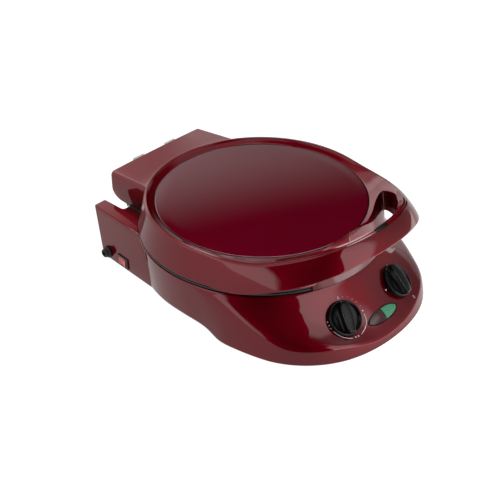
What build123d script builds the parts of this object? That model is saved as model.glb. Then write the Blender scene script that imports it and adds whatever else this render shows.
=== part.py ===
from build123d import *
import math
import os

# Electric pizza maker: round clamshell countertop cooker, about 32 cm across.
# Millimetres. Z = 0 is the table, -Y is the front (control panel), +X the
# user's right. The model is drawn about the pan axis and every piece is moved
# by Y_SHIFT at the end, so that the origin is the centre of the footprint box.

# ---------------------------------------------------------------- dimensions
Y_SHIFT = 10.0          # pan axis sits 10 mm behind the origin
Z_RIM = 69.5            # top of the base rim
R_RIM = 158.0           # base rim radius
Z_DISC = 109.5          # lid disc height
R_DISC = 135.3          # lid disc radius
Z_RIDGE = 115.5         # lid ring ridge height
R_RIDGE = 146.5         # lid ring ridge radius
Z_LID = 75.5            # lower edge of the lid wall
R_LID = 158.0           # radius of the lid wall's lower edge
WALL = 2.5              # moulded wall thickness
HINGE_Y, HINGE_Z = 166.0, 60.0   # lid hinge axis, along X
ROD_R = 3.0
BORE_R = 3.06           # running clearance on the hinge rod and the shafts
ARM_TOP, ARM_BOT = 74.0, 3.0
BOX_TOP, BOX_BOT = 105.0, 68.0
Y_REAR = 199.0          # rear face of the bumper pads
KNOB_X, KNOB_Y = 51.0, -177.5
LENS_Y = -198.5

# Plan of the base against the angle from the front: radius of the bottom
# outline, radius and height of the crease under the control panel.
PH = [0, 7, 13, 19, 25, 32, 38, 44, 50, 57, 64, 70, 76, 82, 90]
RB = [219, 219.1, 219, 218.2, 215.8, 211, 205, 197.3, 187.5, 177, 168, 158.5, 152.5, 150.3, 149.3]
RC = [216, 216, 215.3, 213.8, 211.3, 207, 200.5, 193, 184, 174.5, 166, 161.5, 159, 158, 158]
ZC = [12, 12.6, 16, 20, 23, 26, 29, 34, 39, 46, 54, 60, 65, 68, 69.3]
# hollow of the panel between rim and crease, shallow in the middle
SWOOP = [0.075, 0.11, 0.155, 0.175, 0.175, 0.17, 0.16, 0.15, 0.13, 0.12, 0.10, 0.10, 0.10, 0.10, 0.10]

# Handle hoop: ridge and lower edge against the angle from the front.
HP = [0, 8, 15, 20, 26.5, 33.5, 41, 50, 57, 64, 69]
ER = [185.2, 185.6, 185.6, 185.2, 180.8, 175, 169, 163, 157.3, 152.3, 149.3]
EZ = [146.4, 145.6, 144.4, 143.2, 138.6, 132.6, 126.8, 121, 118, 116.2, 115.6]
LR = [205.2, 205.2, 204, 202.9, 200, 194.5, 187, 177.5, 171, 165, 161]
LZ = [129.5, 128.5, 125, 120.5, 114.5, 106, 97, 87, 80.5, 77, 75.8]
# outer edge of the finger hole (top of the inner wall), and its lower end
HR = [178.6, 178.4, 177.4, 176, 171.5, 164.5, 150, 144.6, 144.4, 144.2, 144.2]
IZ = [118, 117, 114, 110, 103, 95, 88, 83, 79, 77, 76.5]


def lerp(x, xs, ys):
    x = min(max(x, xs[0]), xs[-1])
    for i in range(len(xs) - 1):
        if x <= xs[i + 1]:
            t = (x - xs[i]) / (xs[i + 1] - xs[i])
            return ys[i] + (ys[i + 1] - ys[i]) * t
    return ys[-1]


def smooth(x, xs, ys):
    """Monotone cubic through the table, so that outlines have no kinks."""
    n = len(xs)
    d = [(ys[i + 1] - ys[i]) / (xs[i + 1] - xs[i]) for i in range(n - 1)]
    m = [0.0] * n
    m[0] = 0.0
    m[-1] = d[-1]
    for i in range(1, n - 1):
        if d[i - 1] * d[i] > 0:
            m[i] = 2 * d[i - 1] * d[i] / (d[i - 1] + d[i])
    x = min(max(x, xs[0]), xs[-1])
    for i in range(n - 1):
        if x <= xs[i + 1]:
            h = xs[i + 1] - xs[i]
            t = (x - xs[i]) / h
            return ((2 * t**3 - 3 * t**2 + 1) * ys[i] + (t**3 - 2 * t**2 + t) * h * m[i]
                    + (-2 * t**3 + 3 * t**2) * ys[i + 1] + (t**3 - t**2) * h * m[i + 1])
    return ys[-1]


def base_radius(phi, z):
    """Outer radius of the base at an angle from the front and a height."""
    p = abs(phi)
    rb, rc, zc = smooth(p, PH, RB), smooth(p, PH, RC), smooth(p, PH, ZC)
    z = min(max(z, 2.0), Z_RIM)
    if z <= zc:
        return rb + (rc - rb) * (z - 2.0) / (zc - 2.0)
    target = (Z_RIM - z) / (Z_RIM - zc)
    sw = smooth(p, PH, SWOOP)
    lo, hi = 0.0, 1.0
    for _ in range(40):
        s = (lo + hi) / 2
        if s + sw * math.sin(math.pi * s) < target:
            lo = s
        else:
            hi = s
    return R_RIM + (rc - R_RIM) * (lo + hi) / 2


def panel_z(x, y):
    """Height of the outer surface of the base over a point of the panel."""
    r, phi = math.hypot(x, y), math.degrees(math.atan2(x, -y))
    lo, hi = 2.0, Z_RIM
    for _ in range(40):
        z = (lo + hi) / 2
        if base_radius(phi, z) > r:
            lo = z
        else:
            hi = z
    return (lo + hi) / 2


def panel_frame(x, y):
    """Point on the panel and its outward unit normal."""
    e = 6.0
    zx = (panel_z(x + e, y) - panel_z(x - e, y)) / (2 * e)
    zy = (panel_z(x, y + e) - panel_z(x, y - e)) / (2 * e)
    n = (-zx, -zy, 1.0)
    k = math.sqrt(sum(a * a for a in n))
    return (x, y, panel_z(x, y)), (n[0] / k, n[1] / k, n[2] / k)


def outline(fn, z, n=40):
    pts = []
    for i in range(n):
        phi = -180 + 360.0 * i / n
        r = fn(phi)
        a = math.radians(phi)
        pts.append((r * math.sin(a), -r * math.cos(a), z))
    return Wire([Spline(pts, periodic=True)])


def loft_levels(levels, fn, n=40):
    faces = [Face(outline(lambda p: fn(p, z), z, n)) for z in levels]
    return loft(faces, ruled=True)


def ring(points, arc=360.0, start=0.0):
    """Revolve an (r, z) polygon about the pan axis; start is from +X."""
    face = Plane.XZ * make_face(Polyline(*[(r, z) for r, z in points], close=True))
    solid = revolve(face, Axis.Z, arc)
    return Rot(0, 0, start) * solid


def cyl(x, y, z0, z1, r):
    return Pos(x, y, (z0 + z1) / 2) * Cylinder(r, z1 - z0)


def cyl_x(x0, x1, y, z, r):
    return Pos((x0 + x1) / 2, y, z) * Rot(0, 90, 0) * Cylinder(r, x1 - x0)


def box(x0, x1, y0, y1, z0, z1):
    return Pos((x0 + x1) / 2, (y0 + y1) / 2, (z0 + z1) / 2) * Box(x1 - x0, y1 - y0, z1 - z0)


def prism(points, z0, z1):
    face = make_face(Polyline(*[(x, y) for x, y in points], close=True))
    return Pos(0, 0, z0) * extrude(face, z1 - z0)


def mirror_x(shape):
    return mirror(shape, about=Plane.YZ)


# a solid that fills the space of the round base wall, a little proud of it
BODY_TAPER = ring([(0, 0), (149.6, 0), (158.4, Z_RIM), (158.4, 90), (0, 90)])

# ------------------------------------------------------------- base housing
outer = loft_levels([2, 12, 20, 29, 40, 51, 61, Z_RIM], base_radius)
inner = loft_levels([-2, 9, 17.5, 26.5, 37.5, 48.5, 58.5, 66.5],
                    lambda p, z: base_radius(p, z + 2.2) - 2.2)
base = outer - inner - cyl(0, 0, 60, 75, 147.0)

# arch under each side, between the control housing and the rear arms
arch = make_face(Spline((-66, -3), (-60, 2.6), (-48, 6.8), (-25, 10.6), (5, 12.5), (40, 11.2),
                        (66, 6.4), (80, 1.5), (86, -3)) + Line((86, -3), (-66, -3)))
base -= extrude(Plane.YZ * arch, 200, both=True)

# knob, shaft and lamp frames on the panel
KP, KN = panel_frame(-KNOB_X, KNOB_Y)
LP, LN = panel_frame(0, LENS_Y)


def knob_plane(side):
    """Plane on the panel: x along the user's left-right, z outwards."""
    o = (KP[0] * (-side), KP[1], KP[2])
    n = (KN[0] * (-side), KN[1], KN[2])
    return Plane(origin=o, x_dir=(1, 0, -n[0] / n[2]), z_dir=n)


PL_L, PL_R = knob_plane(-1), knob_plane(1)
PL_LENS = Plane(origin=LP, x_dir=(1, 0, 0), z_dir=LN)

for pl in (PL_L, PL_R):      # flat round seats with a floor under the knobs
    base += pl * Pos(0, 0, -1.5) * Cylinder(25.2, 3.0)
    base -= pl * Pos(0, 0, 6) * Cylinder(23.6, 12)
    base -= pl * Cylinder(4.2, 30)

# screw bosses along the round wall, for the bottom cover
SCREWS = [(145.3 * math.sin(math.radians(a)), -145.3 * math.cos(math.radians(a)))
          for a in (100, 145, 215, 260)]
for bx, by in SCREWS:
    base += cyl(bx, by, 15.5, 34, 5.2) - cyl(bx, by, 15, 28, 1.6)

# lens slot
LENS_A, LENS_B = 27.0, 8.6


def pointed_oval(a, b):
    up = ThreePointArc((-a, 0), (0, b), (a, 0))
    dn = ThreePointArc((a, 0), (0, -b), (-a, 0))
    return make_face(up + dn)


base -= PL_LENS * Pos(0, 0, -8) * extrude(pointed_oval(LENS_A, LENS_B), 16)

# ----------------------------------------------------------- bottom cover
cover = Pos(0, 0, 13.0) * extrude(
    Face(outline(lambda p: base_radius(p, 17.5) - 3.2, 0)), 2.5)
for i in range(7):      # cooling slots under the pan
    cover -= box(-38, 38, -36 + i * 12, -32 + i * 12, 10, 20)
for x, y in SCREWS:
    cover -= cyl(x, y, 10, 18, 2.1)
bottom_screws = Part() + [cyl(x, y, 11.2, 13.0, 3.3) + cyl(x, y, 13.0, 24, 1.55)
                          for x, y in SCREWS]

FRONT_FEET = [(-88, -142), (88, -142)]
front_feet = Part() + [ring([(0, 0), (8.5, 0), (9.5, 1.2), (9.5, 13.0), (0, 13.0)]).moved(
    Location((x, y, 0))) for x, y in FRONT_FEET]

# -------------------------------------------------------------- rear arms
# left arm: outer face splays 5 degrees, inner face faces the open notch
arm_plan = [(-121.3, 185.0), (-130.0, 84.0), (-130.0, 60.0), (-92.0, 60.0), (-92.0, 150.0),
            (-103.0, 150.0), (-103.0, 185.0)]
arm = prism(arm_plan, ARM_BOT, ARM_TOP)
arm -= BODY_TAPER
arm = arm.solids().sort_by(SortBy.VOLUME)[-1]
# raked rear face: the foot stands 10 mm further forward than the top
rake = make_face(Polyline((173.5, -5), (186, ARM_TOP), (200, ARM_TOP + 10), (200, -5), close=True))
arm -= extrude(Plane.YZ * rake, 200, both=True)
vert = arm.edges().filter_by(Axis.Z).filter_by(lambda e: e.center().Y > 145 and abs(e.center().X) > 95)
try:
    arm = fillet(vert, 3.0)
except Exception as err:
    print("arm edge fillet left out:", err)
pocket = prism([(-118.6, 190.0), (-127.4, 84.0), (-127.4, 60.0), (-94.5, 60.0), (-94.5, 147.5),
                (-105.5, 147.5), (-105.5, 190.0)], ARM_BOT - 2, ARM_TOP - WALL)
pocket -= ring([(0, -5), (152.4, -5), (161.2, Z_RIM), (161.2, 95), (0, 95)])
rake_in = make_face(Polyline((170.6, -5), (183.2, ARM_TOP), (240, ARM_TOP + 10), (240, -5), close=True))
pocket -= extrude(Plane.YZ * rake_in, 200, both=True)
arm_shell = arm - pocket
arm_shell = arm_shell.solids().sort_by(SortBy.VOLUME)[-1]

# switch and gland seats on the outer face of the left arm
ARM_N = Vector(-101.0, 8.7, 0).normalized()
SW_P = Vector(-126.1, 129.2, 13.0)
GL_P = Vector(-123.3, 161.5, 12.5)


def on_arm(p):
    """Shift a point along X onto the outer face of the left arm."""
    x = -130.0 + (p.Y - 84.0) / 101.0 * 8.7
    return Vector(x, p.Y, p.Z)


PL_SW = Plane(origin=on_arm(SW_P), x_dir=(0.0858, 0.9963, 0), z_dir=(ARM_N.X, ARM_N.Y, 0))
PL_GL = Plane(origin=on_arm(GL_P), x_dir=(0.0858, 0.9963, 0), z_dir=(ARM_N.X, ARM_N.Y, 0))
arm_left = arm_shell - PL_SW * Box(19.4, 13.4, 20) - PL_GL * Cylinder(6.05, 20)
arm_right = mirror_x(arm_shell)

# bottom covers of the arms, with a foot each
lid_plan = pocket & box(-140, -80, 50, 200, ARM_BOT, ARM_BOT + 2.5)
arm_cover_left = lid_plan - cyl(-112, 160, 0, 10, 2.1) - cyl(-112, 120, 0, 10, 2.1)
arm_cover_left = arm_cover_left.solids().sort_by(SortBy.VOLUME)[-1]
arm_cover_right = mirror_x(arm_cover_left)
rear_feet = Part() + [cyl(s * 110.5, 147, 0, ARM_BOT, 7.0) for s in (-1, 1)]
arm_screws = Part() + [cyl(s * 112, y, 1.4, 3.0, 3.6) + cyl(s * 112, y, 3.0, 10.0, 1.6)
                       for s in (-1, 1) for y in (120, 160)]

# ----------------------------------------------------- rocker switch, gland
PIN_Z = -0.6            # rocker pin below the arm's outer face
bezel = PL_SW * (Pos(0, 0, 0.8) * Box(21.2, 15.1, 1.6) + Pos(0, 0, -2.5) * Box(19.2, 13.2, 5.0)
                 - Pos(0, 0, 0) * Box(16.4, 10.6, 4.4) - Pos(0, 0, PIN_Z) * Rot(90, 0, 0) * Cylinder(1.05, 12.3))
rock = make_face(Polyline((-7.6, 0.4), (7.6, 0.4), (7.6, 1.9), (0, 1.3), (-7.6, 3.1), close=True))
rocker = PL_SW * (Rot(90, 0, 0) * extrude(rock, 4.9, both=True) + Pos(0, 0, -0.3) * Box(4.2, 9.8, 1.8)
                  + Pos(0, 0, PIN_Z) * Rot(90, 0, 0) * Cylinder(1.0, 12.0))
gland = PL_GL * (Pos(0, 0, 1.25) * Cylinder(8.0, 2.5) + Pos(0, 0, 5.0) * Cone(6.8, 5.4, 5.0)
                 + Pos(0, 0, -2.5) * Cylinder(6.0, 5.0))
gland -= PL_GL * Cylinder(3.4, 30)

# ------------------------------------------------------------ baking plates
lower_plate = ring([(0, 57.5), (137, 57.5), (143.5, 61), (146.2, 69.5), (156.3, 69.5), (156.3, 72.0),
                    (144.0, 72.0), (140.8, 62.5), (136, 60.5), (0, 60.5)])
upper_plate = ring([(0, 87.5), (136, 87.5), (141.5, 85.5), (144.2, 77), (144.2, 75.5), (156.3, 75.5),
                    (156.3, 73.0), (141.6, 73.0), (139.0, 83.2), (135, 84.5), (0, 84.5)])


def element(z, tail):
    loop = Pos(0, 0, z) * revolve(Pos(104, 0, 0) * (Plane.XZ * Circle(3.3)), Axis.Z, 332)
    loop = Rot(0, 0, 90 + 14) * loop
    ends = []
    for s in (-1, 1):
        a = math.radians(90 + s * 14)
        ends.append(Pos(104 * math.cos(a), 104 * math.sin(a), z + tail * 3.2) * Cylinder(3.3, 6.4))
        ends.append(Pos(104 * math.cos(a), 104 * math.sin(a), z + tail * 10.4) * Cylinder(1.6, 8.0))
    return Part() + loop + ends


lower_element = element(54.2, -1)
upper_element = element(90.8, 1)

# pressed steel heat shields with their spacer tubes
lower_shield = ring([(0, 36.5), (132, 36.5), (135.5, 40), (135.5, 54), (134.7, 54), (134.7, 40.4),
                     (131.6, 37.3), (0, 37.3)])
upper_shield = ring([(0, 104.0), (127, 104.0), (130, 101), (130, 93), (129.2, 93), (129.2, 100.6),
                     (126.6, 103.2), (0, 103.2)])
POSTS = [(70 * math.cos(math.radians(a)), 70 * math.sin(math.radians(a))) for a in (30, 150, 270)]
for x, y in POSTS:
    lower_shield -= cyl(x, y, 30, 42, 2.2)
    upper_shield -= cyl(x, y, 98, 110, 2.2)
for s in (-1, 1):
    a = math.radians(90 + s * 14)
    for sh in (0, 1):
        hole = Pos(104 * math.cos(a), 104 * math.sin(a), 37 if sh == 0 else 103.6) * Cylinder(4.5, 6)
        if sh == 0:
            lower_shield -= hole
        else:
            upper_shield -= hole
lower_posts = Part() + [cyl(x, y, 37.3, 57.5, 4.0) - cyl(x, y, 36, 60, 2.1) for x, y in POSTS]
upper_posts = Part() + [cyl(x, y, 87.5, 103.2, 4.0) - cyl(x, y, 86, 104, 2.1) for x, y in POSTS]
lower_studs = Part() + [cyl(x, y, 34.6, 36.5, 4.2) + cyl(x, y, 36.5, 57.5, 1.9) for x, y in POSTS]
upper_studs = Part() + [cyl(x, y, 104.0, 105.6, 4.2) + cyl(x, y, 87.5, 104.0, 1.9) for x, y in POSTS]
# legs that carry the lower shield on the bottom cover
legs = []
for a in (40, 140, 220, 320):
    x, y = 118 * math.cos(math.radians(a)), 118 * math.sin(math.radians(a))
    legs.append(cyl(x, y, 15.5, 36.5, 5.0) - cyl(x, y, 15, 37, 2.2))
shield_legs = Part() + legs

# ------------------------------------------------------- controls and lamps
def control_body(pl, r, depth):
    part = pl * (Pos(0, 0, -6.0 - depth / 2) * Cylinder(r, depth) + Pos(0, 0, -5.0) * Cylinder(5.0, 2.0))
    return part - pl * Pos(0, 0, -9) * Cylinder(BORE_R, 22)


thermostat = control_body(PL_L, 12.5, 9)
selector = control_body(PL_R, 13.5, 10)

def shaft(pl):
    return pl * Pos(0, 0, -2.0) * Cylinder(3.0, 24.0)


def knob(pl, turn):
    body = Pos(0, 0, 2.4) * Cylinder(22.0, 3.6)
    body += Pos(0, 0, 6.4) * Cone(19.6, 18.6, 4.6)
    grip = extrude(Pos(0, 0, 4.0) * RectangleRounded(9.0, 41.0, 3.2), 12.8, taper=7)
    tab = Pos(0, 18.2, 3.4) * Box(8.6, 6.4, 5.6)
    body = body + grip + tab
    body -= Pos(0, 0, 4.0) * Cylinder(3.02, 12.0)
    return pl * Rot(0, 0, turn) * body


TURN_L, TURN_R = -24.0, 180.0
knob_left, knob_right = knob(PL_L, TURN_L), knob(PL_R, TURN_R)
shaft_left, shaft_right = shaft(PL_L), shaft(PL_R)

lens_rim = PL_LENS * (Pos(0, 0, -3.0) * extrude(pointed_oval(LENS_A - 0.1, LENS_B - 0.1), 4.2)
                      - Pos(0, 0, -4.0) * extrude(pointed_oval(LENS_A - 2.2, LENS_B - 1.4), 8))
lens_full = PL_LENS * Pos(0, 0, -2.4) * extrude(pointed_oval(LENS_A - 2.3, LENS_B - 1.5), 3.9)
half_r = PL_LENS * (Pos(-20, 0, 0) * Box(40, 40, 20))
half_g = PL_LENS * (Pos(20.05, 0, 0) * Box(40, 40, 20))
lens_red, lens_green = lens_full & half_r, lens_full & half_g
lamps = Part() + [PL_LENS * Pos(s * 9, 0, -5.6) * Rot(0, 90, 0) * Cylinder(2.6, 11) for s in (-1, 1)]

terminal = box(-34, 34, 78, 94, 15.5, 27.5)
for x in (-24, -8, 8, 24):
    terminal -= cyl(x, 86, 20, 30, 2.4)

# ------------------------------------------------------------ hinge, base side
BLOCK_R = 7.0           # the lid plate passes 7.5 mm from the axis
BLOCK_TOP = 66.5
blocks = []
for s in (-1, 1):
    end = ThreePointArc((HINGE_Y, HINGE_Z - BLOCK_R), (HINGE_Y + BLOCK_R, HINGE_Z),
                        (HINGE_Y, HINGE_Z + BLOCK_R))
    prof = make_face(Polyline((HINGE_Y, HINGE_Z + BLOCK_R), (HINGE_Y - 4, BLOCK_TOP), (120, BLOCK_TOP),
                              (120, 46), (HINGE_Y, HINGE_Z - BLOCK_R)) + end)
    b = extrude(Plane.YZ * prof, 8, both=True)
    b = Pos(s * 56, 0, 0) * b - BODY_TAPER
    b = b.solids().sort_by(SortBy.VOLUME)[-1]
    b -= cyl_x(s * 56 - 12, s * 56 + 12, HINGE_Y, HINGE_Z, ROD_R)
    blocks.append(b)
hinge_blocks = Part() + blocks
hinge_rod = cyl_x(-77.5, 77.5, HINGE_Y, HINGE_Z, ROD_R)

# -------------------------------------------------------------------- lid
ring_body = ring([(R_RIDGE, Z_RIDGE), (150.6, 102.6), (R_LID, Z_LID), (155.3, Z_LID), (147.9, 102.4),
                  (144.2, 112.4), (140.4, 108.8), (138.4, 105.0), (131.0, 105.0), (131.0, 107.0),
                  (R_DISC, 107.0), (R_DISC, Z_DISC), (138.4, 110.2), (142.0, 112.2), (144.8, 114.8)])
apron = ring([(157.0, 71.1), (159.3, 71.1), (158.6, 80), (156.0, 80)], 52, -90 - 26)


def hoop_section(phi):
    p = abs(phi)
    er, ez = smooth(p, HP, ER), smooth(p, HP, EZ)
    lr, lz = smooth(p, HP, LR), smooth(p, HP, LZ)
    hr, iz = smooth(p, HP, HR), smooth(p, HP, IZ)
    hz = Z_RIDGE - 1.4 + (ez - Z_RIDGE) * (hr - 144.0) / max(er - 144.0, 1.0)
    w = max(er - hr - 1.5, 1.2)          # width of the top flange
    t = min(WALL, w * 0.42)
    mr, mz = (er + lr) / 2 + 1.2, (ez + lz) / 2 + 1.2
    pts = [(er, ez), (mr, mz), (lr, lz), (lr - t, lz - 0.2), (mr - t, mz - 1.0),
           (er - t, ez - t * 1.2), (hr + t, hz - t), (hr + t, iz), (hr, iz), (hr, hz)]
    a = math.radians(phi)
    return Face(Wire(Polyline(*[(r * math.sin(a), -r * math.cos(a), z) for r, z in pts],
                              close=True).edges()))


stations = [-69, -64, -57, -50, -45, -42, -39, -36, -32, -26.5, -20, -13, -6.5, 0]
left_half = loft([hoop_section(p) for p in stations], ruled=True)
right_half = mirror_x(left_half)
hoop = left_half + right_half
# the ring's own wall fills the hoop's root, and the disc side stays clear
hoop -= ring([(0, 60), (156.9, Z_LID - 0.3), (149.4, 102.6), (145.3, 114.6), (145.3, 160), (0, 160)])
hoop = hoop.solids().sort_by(SortBy.VOLUME)[-1]
lid_shell = ring_body + apron + hoop
disc = ring([(0, 107.0), (R_DISC - 0.15, 107.0), (R_DISC - 0.15, Z_DISC), (0, Z_DISC)])

# black insert let into the middle of the handle's outer face
er0, ez0 = ER[0], EZ[0]
mr0, mz0 = (ER[0] + LR[0]) / 2 + 1.2, (EZ[0] + LZ[0]) / 2 + 1.2
sl = math.hypot(mr0 - er0, ez0 - mz0)
ux, uz = (mr0 - er0) / sl, (mz0 - ez0) / sl
PL_INS = Plane(origin=(0, -(er0 + ux * 4.4), ez0 + uz * 4.4), x_dir=(1, 0, 0),
               z_dir=(0, uz, ux))
insert = PL_INS * (Pos(0, 0, 0.1) * Box(21, 6.4, 3.4))
lid_shell -= PL_INS * (Pos(0, 0, 0.6) * Box(21.1, 6.5, 4.6))

# hinge box: red cover and black base with the hinge lugs
plan_out = [(-80, 190), (-77, 192.6), (-40, 193.8), (0, 194.2), (40, 193.8), (77, 192.6), (80, 190),
            (87.5, 118), (-87.5, 118)]
plan_in = [(-77.4, 188), (-75, 190.0), (-40, 191.3), (0, 191.7), (40, 191.3), (75, 190.0), (77.4, 188),
           (85.0, 100), (-85.0, 100)]
RING_OUT = ring([(0, 60), (158.5, 60), (158.5, Z_LID), (R_LID, Z_LID), (150.6, 102.6), (R_RIDGE, Z_RIDGE),
                 (0, Z_RIDGE)])
cover_box = prism(plan_out, BOX_BOT, BOX_TOP)
try:
    top_e = cover_box.faces().sort_by(Axis.Z)[-1].edges().filter_by(lambda e: e.center().Y > 125)
    cover_box = chamfer(top_e, 4.0)
except Exception as err:
    print("box top chamfer left out:", err)
# rounded lower rear corner
low = make_face(Polyline((170, BOX_BOT - 1), (182, BOX_BOT - 1), (188, BOX_BOT + 3), (192, BOX_BOT + 9),
                         (194.5, BOX_BOT + 17), (205, BOX_BOT + 17), (205, BOX_BOT - 8), (170, BOX_BOT - 8),
                         close=True))
cover_box -= extrude(Plane.YZ * low, 120, both=True)
inner_box = prism(plan_in, BOX_BOT - 5, BOX_TOP - 2.6)
low_in = make_face(Polyline((150, BOX_BOT - 8), (178, BOX_BOT - 8), (179, BOX_BOT + 2), (185, BOX_BOT + 5.4),
                            (189, BOX_BOT + 11), (191.8, BOX_BOT + 18), (205, BOX_BOT + 18),
                            (205, BOX_BOT - 20), (150, BOX_BOT - 20), close=True))
inner_box -= extrude(Plane.YZ * low_in, 120, both=True)
hinge_cover = cover_box - inner_box - RING_OUT
hinge_cover = hinge_cover.solids().sort_by(SortBy.VOLUME)[-1]

plate = prism([(-84.4, 159.6), (-84.4, 128), (-90.2, 128), (-90.2, 152.5), (-85.2, 156.5), (-84.6, 159.6),
               (-81.6, 177.6), (81.6, 177.6), (84.6, 159.6), (85.2, 156.5), (90.2, 152.5), (90.2, 128),
               (84.4, 128), (84.4, 159.6)], BOX_BOT - 0.5, BOX_BOT + 2.5) - RING_OUT
plate -= hinge_cover
lugs = []
for s in (-1, 1):
    lug = Pos(s * 71, 0, 0) * extrude(Plane.YZ * make_face(Polyline(
        (158.5, 61), (160.5, 55.2), (166, 52.2), (171.5, 55.2), (174.6, 61), (176.5, 68), (160, 68),
        close=True)), 5, both=True)
    lugs.append(lug)
hinge_base = plate + lugs[0] + lugs[1]
hinge_base -= cyl_x(-90, 90, HINGE_Y, HINGE_Z, BORE_R)

pads = []
for s in (-1, 1):
    pad = Pos(s * 29, 0, 0) * box(-8.6, 8.6, 190.0, Y_REAR, 86, 104)
    for i in range(4):
        pad -= Pos(s * 29 - 5.7 + i * 3.8, 0, 0) * box(-0.7, 0.7, Y_REAR - 2.0, Y_REAR + 1, 80, 106)
    pad -= cover_box
    pads.append(pad.solids().sort_by(SortBy.VOLUME)[-1])
bumpers = Part() + pads
box_screws = Part() + [cyl(x, 170, 65.9, 67.5, 3.4) + cyl(x, 170, 67.5, 76.0, 1.6) for x in (-30, 30)]
for x in (-30, 30):
    hinge_base -= cyl(x, 170, 60, 80, 1.75)

NODES = {
    "base_housing": base, "base_bottom_cover": cover, "base_bottom_screws": bottom_screws,
    "front_feet": front_feet, "rear_arm_left": arm_left, "rear_arm_right": arm_right,
    "rear_arm_cover_left": arm_cover_left, "rear_arm_cover_right": arm_cover_right,
    "rear_feet": rear_feet, "rear_arm_screws": arm_screws, "switch_bezel": bezel,
    "switch_rocker": rocker, "cord_gland": gland, "lower_baking_plate": lower_plate,
    "lower_heating_element": lower_element, "lower_heat_shield": lower_shield,
    "lower_spacer_tubes": lower_posts, "lower_plate_studs": lower_studs, "heat_shield_legs": shield_legs,
    "thermostat": thermostat, "function_selector": selector,
    "thermostat_shaft": shaft_left, "selector_shaft": shaft_right,
    "thermostat_knob": knob_left, "selector_knob": knob_right,
    "indicator_rim": lens_rim, "indicator_lens_red": lens_red, "indicator_lens_green": lens_green,
    "indicator_lamps": lamps, "terminal_block": terminal, "hinge_blocks": hinge_blocks,
    "hinge_rod": hinge_rod, "lid_shell": lid_shell, "lid_disc": disc, "handle_insert": insert,
    "upper_baking_plate": upper_plate, "upper_heating_element": upper_element,
    "upper_heat_shield": upper_shield, "upper_spacer_tubes": upper_posts,
    "upper_plate_studs": upper_studs, "hinge_box_cover": hinge_cover, "hinge_box_base": hinge_base,
    "hinge_box_screws": box_screws, "rear_bumpers": bumpers,
}

os.makedirs("parts", exist_ok=True)
for name, shape in NODES.items():
    moved = Pos(0, Y_SHIFT, 0) * shape
    moved.label = name
    export_step(moved, f"parts/{name}.step")
for name, shape in NODES.items():
    bb = shape.bounding_box()
    print(name, "solids", len(shape.solids()), "z", round(bb.min.Z, 2), round(bb.max.Z, 2))
print("knob frame", KP, KN)
print("lens frame", LP, LN)
print("switch", PL_SW.origin, PL_SW.z_dir)
print(len(NODES), "nodes")
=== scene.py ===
import bpy
import bmesh
import math
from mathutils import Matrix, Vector
from mathutils.bvhtree import BVHTree


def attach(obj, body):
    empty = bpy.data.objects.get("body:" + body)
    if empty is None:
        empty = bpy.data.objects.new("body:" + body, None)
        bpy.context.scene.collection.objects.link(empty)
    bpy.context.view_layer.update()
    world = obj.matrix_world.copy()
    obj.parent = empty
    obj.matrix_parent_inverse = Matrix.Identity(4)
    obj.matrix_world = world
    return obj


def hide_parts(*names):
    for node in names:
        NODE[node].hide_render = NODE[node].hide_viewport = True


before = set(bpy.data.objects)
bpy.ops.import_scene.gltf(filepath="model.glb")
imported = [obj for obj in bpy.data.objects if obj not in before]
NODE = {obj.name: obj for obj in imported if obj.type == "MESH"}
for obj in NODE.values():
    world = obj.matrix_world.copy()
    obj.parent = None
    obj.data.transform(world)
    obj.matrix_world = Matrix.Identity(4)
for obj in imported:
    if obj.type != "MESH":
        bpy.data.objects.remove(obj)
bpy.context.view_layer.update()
YS = 10.0               # the pan axis is 10 mm behind the frame's origin

# ------------------------------------------------------------------ dimensions (mm, about the pan axis)
Z_RIM, R_RIM = 69.5, 158.0
Z_DISC, R_DISC = 109.5, 135.3
PH = [0, 7, 13, 19, 25, 32, 38, 44, 50, 57, 64, 70, 76, 82, 90]
RB = [219, 219.1, 219, 218.2, 215.8, 211, 205, 197.3, 187.5, 177, 168, 158.5, 152.5, 150.3, 149.3]
RC = [216, 216, 215.3, 213.8, 211.3, 207, 200.5, 193, 184, 174.5, 166, 161.5, 159, 158, 158]
ZC = [12, 12.6, 16, 20, 23, 26, 29, 34, 39, 46, 54, 60, 65, 68, 69.3]
SWOOP = [0.075, 0.11, 0.155, 0.175, 0.175, 0.17, 0.16, 0.15, 0.13, 0.12, 0.10, 0.10, 0.10, 0.10, 0.10]
HP = [0, 8, 15, 20, 26.5, 33.5, 41, 50, 57, 64, 69, 74, 80, 90]
ER = [185.2, 185.6, 185.6, 185.2, 180.8, 175.2, 170.0, 164.6, 159.3, 154.5, 151.5, 149.6, 148.7, 148.7]
EZ = [146.6, 145.8, 144.6, 143.4, 138.9, 132.8, 126.4, 120.1, 117.1, 115.4, 114.8, 114.7, 114.7, 114.7]
LR = [205.2, 205.2, 204, 202.9, 200, 194.5, 187, 177.5, 171, 165, 161, 159, 158, 158]
LZ = [129.5, 128.5, 125, 120.5, 114.5, 106, 97, 87, 80.5, 77, 75.8, 75.55, 75.5, 75.5]
HQ = [0, 8, 13, 20, 25, 30, 37, 43.2]
HR = [178.8, 178.5, 177.6, 175.6, 173.0, 169.2, 161.5, 153.0]
IZ = [118, 117, 115, 110, 105, 99, 92, 88]
KNOB_X, KNOB_Y, LENS_Y = 51.0, -177.5, -198.5
TURN_L, TURN_R = -25.5, 189.0


def lerp(x, xs, ys):
    x = min(max(x, xs[0]), xs[-1])
    for i in range(len(xs) - 1):
        if x <= xs[i + 1]:
            return ys[i] + (ys[i + 1] - ys[i]) * (x - xs[i]) / (xs[i + 1] - xs[i])
    return ys[-1]


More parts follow.
